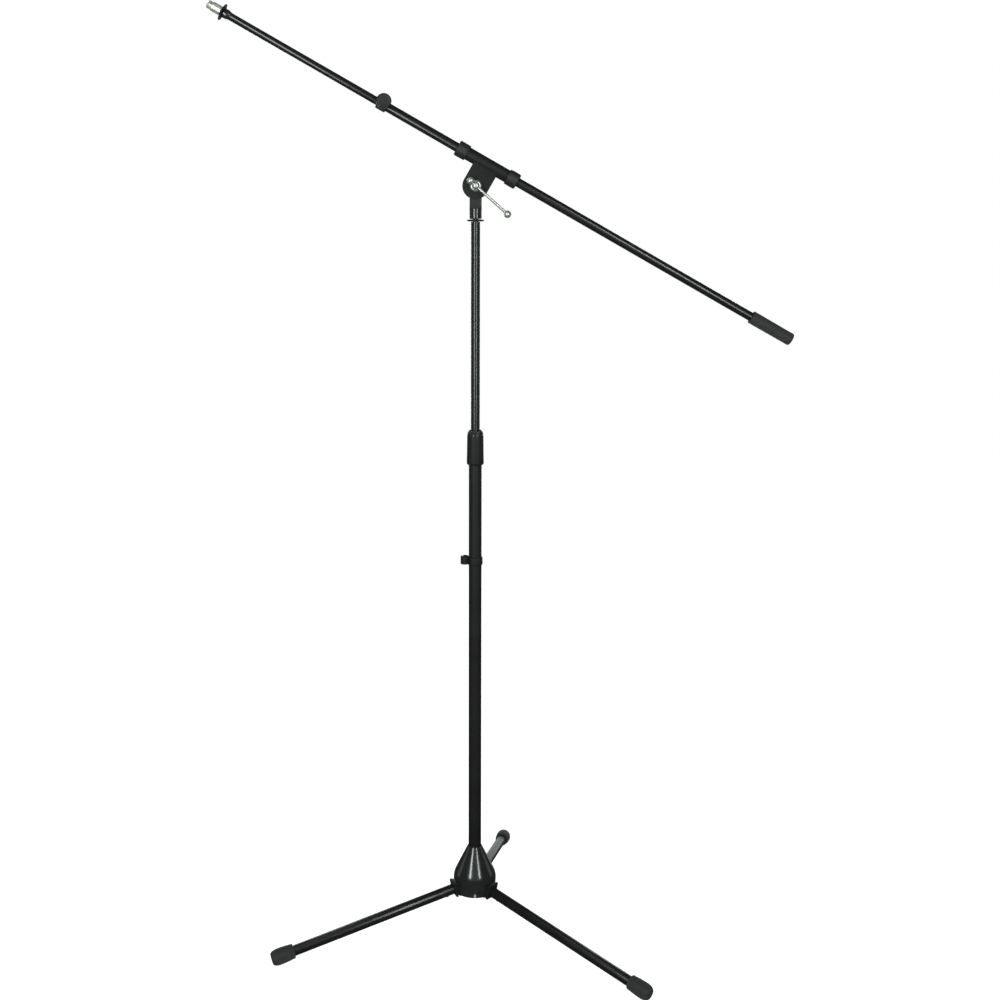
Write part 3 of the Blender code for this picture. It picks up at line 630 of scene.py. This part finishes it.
def rim_knurl(rim):
    """Fine teeth on the points of an outline that lie on its rim."""

    def shape(radius, height, angle):
        if radius < rim - 0.2:
            return radius
        return radius - TOOTH_DEPTH * (0.5 - 0.5 * math.cos(RIM_TEETH * angle))

    return shape


def clutch(stand):
    """A twist grip: a smooth tapered body with a chamfered foot, and a crown cut into diamonds."""
    base, top = CLUTCH_BASE, CLUTCH_TOP
    throat = UPPER_R + 0.45
    crown_base, height = top - 9.0, 8.6
    flutes, depth = 12, 2.0
    body = lathe(
        "clutch_grip_piece",
        (
            (11.8, base), (13.4, base), (14.3, base + 0.9), (15.0, base + 2.3), (15.1, base + 3.6),
            (14.75, base + 24), (14.4, top - 11.0), (14.1, crown_base), (throat, crown_base),
            (throat, crown_base - 6.5), (11.8, 907.0), (11.8, 899.5), (13.3, 898.0), (13.3, base + 2.4),
            (11.8, base + 2.4),
        ),
        stand, 160, 0.0,
    )
    count = 26
    rise = [(14.1 - 3.3 * (i / count) ** 2.2, crown_base + height * i / count) for i in range(count + 1)]

    def shape(radius, z, angle):
        if not crown_base < z < top - 0.2 or radius < 10.3:
            return radius
        along = (z - crown_base) / height
        first = abs(math.sin(flutes / 2 * angle + along * math.pi))
        second = abs(math.sin(flutes / 2 * angle - along * math.pi))
        fade = min(1.0, along * 9, (1 - along) * 5)
        return radius - depth * fade * max(0.0, 0.62 - min(first, second))

    outline = [(throat, crown_base), *rise, (10.1, top), (throat, top)]
    return body, lathe("clutch_crown_piece", outline, stand, 280, 0.0, shape)


def clip(stand):
    """A spring band round the tube and a C-shaped cable hook, open away from the tube."""
    outline = (
        (0, CLIP_BASE), (12.7, CLIP_BASE), (13.3, CLIP_BASE + 0.8), (13.3, CLIP_TOP - 1.3),
        (12.2, CLIP_TOP), (0, CLIP_TOP),
    )
    band = lathe("cable_clip_piece", outline, stand, FINE, 0.2)
    side = moved(stand, (CLIP_HOOK_X, 0, 0))
    low, high = CLIP_BASE + 0.8, CLIP_TOP + 2.0
    outline = ((0, low), (6.8, low), (7.4, low + 0.7), (7.4, high - 1.3), (6.3, high), (0, high))
    hook = lathe("hook", outline, side, 72, 0.3)
    web = block("web", (-17, -3.2, CLIP_BASE + 1.2), (-8, 3.2, CLIP_TOP - 0.6), stand)
    carve(band, [hook, web], "UNION")
    channel = rod("channel", 4.4, 600, 800, side, 72, 0)
    mouth = block("mouth", (-2.6, 0, 600), (2.6, 20, 800), moved(side, turn=(0, 0, 45)))
    carve(band, [rod("tube_space", LOWER_R + 0.12, 600, 800, stand, FINE, 0), channel, mouth])
    bevel(band, 0.35, 2, 50)
    return band


# ---------------------------------------------------------------- swivel head and clamp


def swivel(kit, frames):
    """A round neck that ends in a flat tongue and disc, between its two friction discs."""
    stand, screw = frames["stand"], frames["screw"]
    neck = (
        (0, NECK_BASE), (9.9, NECK_BASE), (NECK_R, NECK_BASE + 0.8), (NECK_R, NECK_TOP - 1),
        (NECK_R - 1, NECK_TOP), (0, NECK_TOP),
    )
    made = lathe("swivel_head_piece", neck, stand, FINE, 0.4)
    half = SWIVEL_HALF
    tongue = block("tongue", (-TONGUE_HALF, -half, NECK_TOP - 3), (TONGUE_HALF, half, PIVOT - 8), stand)
    bevel(tongue, 0.8, 3)
    disc = (
        (0, -half), (19.9, -half), (20.3, 0.4 - half), (21.7, 0.4 - half), (SWIVEL_R, 1.1 - half),
        (SWIVEL_R, half - 1.1), (21.7, half - 0.4), (20.3, half - 0.4), (19.9, half), (0, half),
    )
    carve(made, [tongue, lathe("swivel_disc", disc, screw, FINE, 0.25)], "UNION")
    carve(made, [
        rod("stud_bore", STUD_R + GAP, 1280, STUD_TOP + 1.5, stand, 48, 0),
        rod("screw_bore", SCREW_R + GAP, -20, 20, screw, 48, 0),
    ])
    shade(made, CUT_ANGLE)
    kit.add(made, GLOSS, "mast", "swivel_head")
    for name, side in (("front", 1), ("rear", -1)):
        low, high = sorted((side * (half + 0.3), side * (half + 1.4)))
        ring = tube(f"friction_disc_piece_{name}", SCREW_R + GAP, 20.5, low, high, screw, FINE, 0.15)
        kit.add(ring, NYLON, "clamp", f"friction_disc_{name}")


def clamp(kit, frames):
    """One folded steel strip: a rolled sleeve, with two cheeks that blend into it."""
    boom, line = frames["boom"], frames["boom_line"]
    sleeve = rod("clamp_strap_piece", SLEEVE_R, -SLEEVE_HALF, SLEEVE_HALF, line, 120, 0.5)
    outline = arc(CHEEK_R, 180, 360, 48) + [(CHEEK_R, BOOM_HEIGHT - 5), (-CHEEK_R, BOOM_HEIGHT - 5)]
    cheeks = slab("cheeks", outline, -CHEEK_OUTER, CHEEK_OUTER, boom)
    wide, narrow, floor, top = 30, CHEEK_R - 0.1, BOOM_HEIGHT - SLEEVE_R - 0.5, BOOM_HEIGHT - 5.5
    opening = (
        (-wide, -wide), (wide, -wide), (wide, floor), (narrow, floor), (narrow, top), (-narrow, top),
        (-narrow, floor), (-wide, floor),
    )
    inside = slab("inside", opening, -CHEEK_INNER, CHEEK_INNER, boom)
    slit = block("slit", (-60, -1.5, BOOM_HEIGHT - 20), (60, 1.5, BOOM_HEIGHT - 4), boom)
    carve(sleeve, [cheeks], "UNION")
    carve(sleeve, [
        inside,
        rod("bore", SLEEVE_BORE, -60, 60, line, 120, 0),
        slit,
        rod("screw_bore", SCREW_R + GAP, -20, 20, frames["screw"], 48, 0),
    ])
    bevel(sleeve, 0.35, 2, 50)
    kit.add(sleeve, MATT, "clamp", "clamp_strap")


def clamp_screw(kit, frames):
    """The plated screw with its collar, the loose tommy bar, a ball on each of its ends, and the nut."""
    screw, bar = frames["screw"], frames["bar"]
    seat = CHEEK_OUTER + 0.1
    outline = (
        (0, -18), (3.4, -18), (SCREW_R, -17.4), (SCREW_R, seat), (9.3, seat), (10.2, seat + 0.6),
        (10.2, seat + 1.3), (9.5, seat + 2.5), (8.1, seat + 3.4), (6.4, seat + 3.9), (5.5, seat + 4.6),
        (5.3, seat + 5.6), (5.3, BAR_DEPTH + 4.8), (4.7, BAR_DEPTH + 6.2), (3.2, BAR_DEPTH + 7.1),
        (0, BAR_DEPTH + 7.4),
    )
    made = lathe("clamp_screw_piece", outline, screw, FINE, 0.3)
    carve(made, [rod("bar_bore", BAR_R + GAP, -15, 15, bar, 48, 0)])
    shade(made, CUT_ANGLE)
    kit.add(made, CHROME, "screw", "clamp_screw")
    made = rod("tommy_bar_piece", BAR_R, UPPER_BALL + 1, LOWER_BALL - 1, bar, 64, 0.4)
    kit.add(made, CHROME, "bar", "tommy_bar")
    for name, centre, side in (("upper", UPPER_BALL, 1), ("lower", LOWER_BALL, -1)):
        bore = BAR_R + 0.1
        mouth = math.acos((bore + 0.5) / BALL_R)
        shell = arc(BALL_R, -90, math.degrees(mouth), 40)
        rim = BALL_R * math.sin(mouth) + 0.1
        points = [(0, -BALL_R), *shell[1:], (bore, rim), (bore, 0.7), (0, 0.7)]
        made = lathe(f"tommy_ball_piece_{name}", [(r, centre + side * z) for r, z in points], bar, 72, 0.0)
        kit.add(made, CHROME, "bar", f"tommy_ball_{name}")
    low, high = -CHEEK_OUTER - GAP - 6.5, -CHEEK_OUTER - GAP
    nut = rod("clamp_nut_piece", 8.6, low, high, screw, 6, 0)
    crown = ((0, low), (7.2, low), (9.2, low + 1.4), (9.2, high - 0.4), (8.6, high), (0, high))
    dome = lathe("dome", crown, screw, FINE, 0)
    carve(nut, [dome], "INTERSECT")
    carve(nut, [rod("bore", SCREW_R + 0.1, -30, 0, screw, 48, 0)])
    bevel(nut, 0.2, 2, 50)
    kit.add(nut, STEEL, "clamp", "clamp_nut")
    thread = helix("clamp_screw_thread", SCREW_R + 0.02, 0.5, 1.25, -17.6, -CHEEK_OUTER - 1, screw)
    kit.add(thread, STEEL, "screw")


# ---------------------------------------------------------------- boom


def boom_bushes(kit, line):
    """Flanged plastic bushes with shallow grip ribs round their flanges."""
    bore, inside, start = OUTER_R + 0.12, SLEEVE_BORE - 0.1, SLEEVE_HALF + 0.1
    for name, side in (("front", -1), ("rear", 1)):
        outline = (
            (bore, 16), (inside, 16), (inside, start), (13.2, start), (BUSH_R, start + 0.9),
            (BUSH_R, start + 2.6), (13.5, start + 3.2), (13.5, start + 4.0), (BUSH_R, start + 4.6),
            (BUSH_R, BUSH_END - 2.0), (13.3, BUSH_END - 0.9), (12.5, BUSH_END), (bore + 0.7, BUSH_END),
            (bore, BUSH_END - 0.7),
        )
        made = lathe(f"boom_bush_piece_{name}", [(r, side * z) for r, z in outline], line, FINE, 0.3)
        kit.add(made, PLASTIC, "bushes", f"boom_bush_{name}")


def boom_tubes(kit, frames):
    """The two boom tubes, the collar that carries the knob's screw, and the rear grip."""
    line, knob = frames["boom_line"], frames["knob"]
    made = tube("boom_outer_tube_piece", OUTER_BORE, OUTER_R, OUTER_FRONT, OUTER_REAR, line)
    kit.add(made, PAINT, "boom_outer", "boom_outer_tube")
    made = tube("boom_inner_tube_piece", INNER_BORE, INNER_R, INNER_FRONT, INNER_REAR, line)
    kit.add(made, PAINT, "boom_inner", "boom_inner_tube")
    step = OUTER_FRONT - GAP
    bore = OUTER_R + 0.12
    outline = (
        (OUTER_BORE, COLLAR_FRONT), (10.3, COLLAR_FRONT), (COLLAR_R, COLLAR_FRONT + 0.7),
        (COLLAR_R, COLLAR_REAR - 0.7), (10.3, COLLAR_REAR), (bore, COLLAR_REAR), (bore, step),
        (OUTER_BORE, step),
    )
    collar = lathe("boom_collar_piece", outline, line, FINE, 0.3)
    boss = ((0, 8.6), (6.4, 8.6), (5.9, 11.0), (5.6, 12.0), (5.6, 13.7), (5.3, 14.0), (0, 14.0))
    carve(collar, [lathe("boss", boss, knob, 64, 0.1)], "UNION")
    carve(collar, [rod("screw_bore", 3.3, 5, 20, knob, 48, 0)])
    shade(collar, CUT_ANGLE)
    kit.add(collar, PLASTIC, "boom_outer", "boom_collar")
    kit.add(rear_grip(line), RUBBER, "boom_outer", "rear_grip")


def rear_grip(line):
    """A rubber sleeve with a bead at its mouth, faint rings and a flat end with a soft rim."""
    bore = OUTER_R + 0.12
    bead = (
        (bore + 0.6, 0.0), (10.6, 0.0), (11.3, 0.5), (11.6, 1.4), (11.5, 3.4), (11.1, 4.2), (11.1, 4.9),
        (11.5, 5.6),
    )
    side = [(radius, GRIP_FRONT + along) for radius, along in bead]
    for i in range(4):
        along = GRIP_REAR - 25 + 5 * i
        side += [(11.25, along), (10.95, along + 0.5), (10.95, along + 1.0), (11.25, along + 1.5)]
    rim = ((11.2, -2.4), (10.5, -0.9), (9.5, 0.0), (8.1, 0.0), (7.7, -0.5))
    end = [(radius, GRIP_REAR + along) for radius, along in rim]
    inside = [(0, OUTER_REAR + GAP), (bore, OUTER_REAR + GAP), (bore, GRIP_FRONT + 0.6)]
    outline = [*inside, *side, *end, (0, GRIP_REAR - 0.5)]
    return lathe("rear_grip_piece", outline, line, FINE, 0.2)


def boom_knob(kit, knob):
    """A round knob with a softly lobed rim and a slightly sunk face."""
    outline = (
        (0, 25.0), (3.3, 25.0), (3.3, 15.0), (6.6, 15.0), (7.0, 15.4), (7.2, 16.2), (8.2, 16.9), (11.4, 17.3),
        (12.5, 18.0), (13.1, 19.2), (13.2, 20.6), (13.2, 25.8), (12.9, 27.3), (12.1, 28.5), (10.9, 29.3),
        (9.6, 29.5), (8.7, 29.1), (6.0, 29.0), (0, 29.0),
    )
    lobes = 18

    def shape(radius, height, angle):
        if radius < 12.0 or not 17.8 < height < 28.2:
            return radius
        return radius - 0.3 * (0.5 - 0.5 * math.cos(lobes * angle)) ** 3

    made = lathe("boom_knob_piece", outline, knob, 180, 0.2, shape)
    kit.add(made, PLASTIC, "knob", "boom_knob")
    thread = helix("knob_screw_piece", 3.0, 0.4, 1.0, 8.9, 24.7, knob)
    kit.add(thread, STEEL, "knob", "knob_screw")
    pad = rod("pressure_pad_piece", 2.9, 7.05, 8.6, knob, 40, 0.2)
    kit.add(pad, NYLON, "pad", "pressure_pad")


def boom_tip(kit, frames):
    """The ferrule in the end of the inner tube, its stud, the lock disc and the adapter."""
    line = frames["boom_line"]
    shoulder = INNER_FRONT - GAP
    bore = STUD_R + GAP
    ferrule = (
        (0, shoulder + 16), (5.4, shoulder + 16), (5.4, shoulder), (6.9, shoulder + 0.1),
        (7.15, shoulder - 0.8), (8.0, shoulder - 3.3), (8.4, shoulder - 5.0),
        (8.45, FERRULE_FRONT + 0.6), (8.0, FERRULE_FRONT),
        (bore, FERRULE_FRONT), (bore, shoulder + 6), (0, shoulder + 6),
    )
    kit.add(lathe("tip_ferrule_piece", ferrule, line, FINE, 0.25), GLOSS, "boom_inner", "tip_ferrule")
    middle = (FERRULE_FRONT + ADAPTER_REAR) / 2
    rim = TIP_DISC_R
    section = (
        (bore, -2.2), (8.6, -1.9), (14.3, -1.0), (rim, -0.6), (rim, 0.5), (14.3, 0.9), (8.6, 1.9),
        (bore, 2.2),
    )
    disc = [(radius, middle + along) for radius, along in section]
    made = lathe("tip_lock_disc_piece", disc, line, 120, 0.2, rim_knurl(rim))
    kit.add(made, MATT, "tip_lock", "tip_lock_disc")
    low, high = ADAPTER_FRONT + 9, shoulder + 5.7
    thread = helix("tip_stud_piece", STUD_R, STUD_DEPTH, STUD_PITCH, low, high, line)
    kit.add(thread, STEEL, "boom_inner", "tip_stud")
    kit.add(adapter(line), NICKEL, "boom_inner", "thread_adapter")


def adapter(line):
    """The thread adapter: a threaded nose with a coin slot across it, and a plain skirt."""
    bore = STUD_R + 0.1
    nose = ADAPTER_FRONT + 8.5
    thread_r, pitch, depth = 7.2, 0.94, 0.42
    rows = 34
    start, end = ADAPTER_FRONT + 0.9, nose - 0.3
    ridge = [(thread_r, start + (end - start) * i / rows) for i in range(rows + 1)]
    outline = [
        (bore, ADAPTER_FRONT + 0.5), (bore + 0.5, ADAPTER_FRONT), (6.3, ADAPTER_FRONT), *ridge,
        (thread_r, nose),
        (8.0, nose + 0.1), (8.3, nose + 0.6), (8.3, ADAPTER_REAR - 0.6), (7.9, ADAPTER_REAR),
        (bore, ADAPTER_REAR),
    ]

    def shape(radius, height, angle):
        if abs(radius - thread_r) > 0.05 or height >= nose - 0.1:
            return radius
        return wound(radius, height, angle, start, pitch, depth)

    made = lathe("thread_adapter_piece", outline, line, FINE, 0.0, shape)
    across = moved(line, turn=(0, 0, -38))
    slot = block("coin_slot", (-2.2, -20, ADAPTER_FRONT - 5), (2.2, 20, ADAPTER_FRONT + 7.5), across)
    carve(made, [slot])
    shade(made, CUT_ANGLE)
    return made


# ---------------------------------------------------------------- studio


def area_light(name, at, to, width, height, power, colour=(1.0, 1.0, 1.0), glossy=True):
    data = bpy.data.lights.new(name, "AREA")
    data.shape = "RECTANGLE"
    data.size, data.size_y = width, height
    data.energy = power
    data.color = colour
    made = bpy.data.objects.new(name, data)
    bpy.context.scene.collection.objects.link(made)
    made.location = at
    made.rotation_euler = (Vector(to) - Vector(at)).to_track_quat("-Z", "Y").to_euler()
    made.visible_camera = False
    made.visible_glossy = glossy


def studio(column):
    """A white backdrop and floor, tall strip lights for the lines on the tubes, and soft fill lights."""
    x, y = column.x, column.y
    world = bpy.data.worlds.new("studio")
    bpy.context.scene.world = world
    world.use_nodes = True
    tree = world.node_tree
    dim = tree.nodes["Background"]
    dim.inputs["Color"].default_value = (1.0, 1.0, 1.0, 1.0)
    dim.inputs["Strength"].default_value = 0.04
    backdrop = tree.nodes.new("ShaderNodeBackground")
    backdrop.inputs["Color"].default_value = (1.0, 1.0, 1.0, 1.0)
    path = tree.nodes.new("ShaderNodeLightPath")
    mix = tree.nodes.new("ShaderNodeMixShader")
    tree.links.new(path.outputs["Is Camera Ray"], mix.inputs[0])
    tree.links.new(dim.outputs[0], mix.inputs[1])
    tree.links.new(backdrop.outputs[0], mix.inputs[2])
    tree.links.new(mix.outputs[0], tree.nodes["World Output"].inputs["Surface"])
    cool = (0.92, 1.0, 0.99)
    area_light("left_strip", (x - 1.05, y - 2.0, 1.55), (x, y, 1.35), 0.36, 1.9, 36, cool)
    area_light("right_strip", (x + 1.08, y - 2.0, 1.55), (x, y, 1.35), 0.26, 1.9, 26, cool)
    area_light("front_fill", (x, y - 3.2, 1.5), (x, y, 1.0), 2.6, 2.4, 7)
    area_light("left_side", (x - 2.5, y + 0.5, 1.2), (x, y, 1.0), 0.9, 2.6, 4, cool)
    area_light("right_side", (x + 2.5, y + 0.5, 1.2), (x, y, 1.0), 0.9, 2.6, 4, cool)
    area_light("rear_fill", (x + 0.4, y + 2.6, 0.1), (x, y, 0.1), 2.4, 1.4, 7, (0.90, 1.0, 0.93))
    area_light("rear_left_strip", (x - 1.1, y + 2.2, 1.45), (x, y, 1.3), 0.34, 1.8, 9, cool)
    area_light("rear_right_strip", (x + 1.2, y + 2.1, 1.45), (x, y, 1.3), 0.26, 1.8, 7, cool)
    area_light("overhead", (x - 0.7, y - 0.4, 3.1), (x, y, 0.0), 0.7, 0.7, 3)
    area_light("top", (x, y - 0.4, 3.4), (x, y, 0.0), 3.0, 3.0, 24, glossy=False)
    bm = bmesh.new()
    bmesh.ops.create_circle(bm, cap_ends=True, radius=4.5, segments=96)
    mesh = bpy.data.meshes.new("floor")
    bm.to_mesh(mesh)
    bm.free()
    floor = bpy.data.objects.new("floor", mesh)
    floor.location = (x, y, 0)
    floor.visible_glossy = False
    floor.visible_shadow = False
    bpy.context.scene.collection.objects.link(floor)
    made = Shader("pale_floor")
    grain = made.noise(6.0, 3.0)
    made.link(made.blend(grain, (0.36, 0.36, 0.36), (0.38, 0.38, 0.38)), "Base Color")
    made.set(Roughness=1.0, Specular_IOR_Level=0.0, Emission_Color=(1, 1, 1, 1), Emission_Strength=0.97)
    floor.data.materials.append(made.material)


def camera(column):
    """A camera in front of the column that looks slightly down."""
    data = bpy.data.cameras.new("camera")
    data.sensor_width = 36.0
    data.lens = LENS_RATIO * data.sensor_width
    data.shift_x, data.shift_y = CAMERA_SHIFT
    data.clip_end = 100.0
    made = bpy.data.objects.new("camera", data)
    bpy.context.scene.collection.objects.link(made)
    made.location = (column.x + CAMERA_X, column.y - CAMERA_DISTANCE, CAMERA_HEIGHT)
    made.rotation_euler = (math.radians(90 - CAMERA_DOWN), 0, 0)
    bpy.context.scene.camera = made


def main():
    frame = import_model()
    frames = local_frames(frame)
    kit = Kit(frame)
    base_hub(kit, frames)
    for name in LEGS:
        leg(kit, frames, name)
    column(kit, frames)
    swivel(kit, frames)
    clamp(kit, frames)
    clamp_screw(kit, frames)
    boom_bushes(kit, frames["boom_line"])
    boom_tubes(kit, frames)
    boom_knob(kit, frames["knob"])
    boom_tip(kit, frames)
    kit.dress_rest(frame["record"])
    foot = frames["stand"].translation
    studio(foot)
    camera(foot)
    bpy.context.scene.view_settings.view_transform = "Standard"


main()
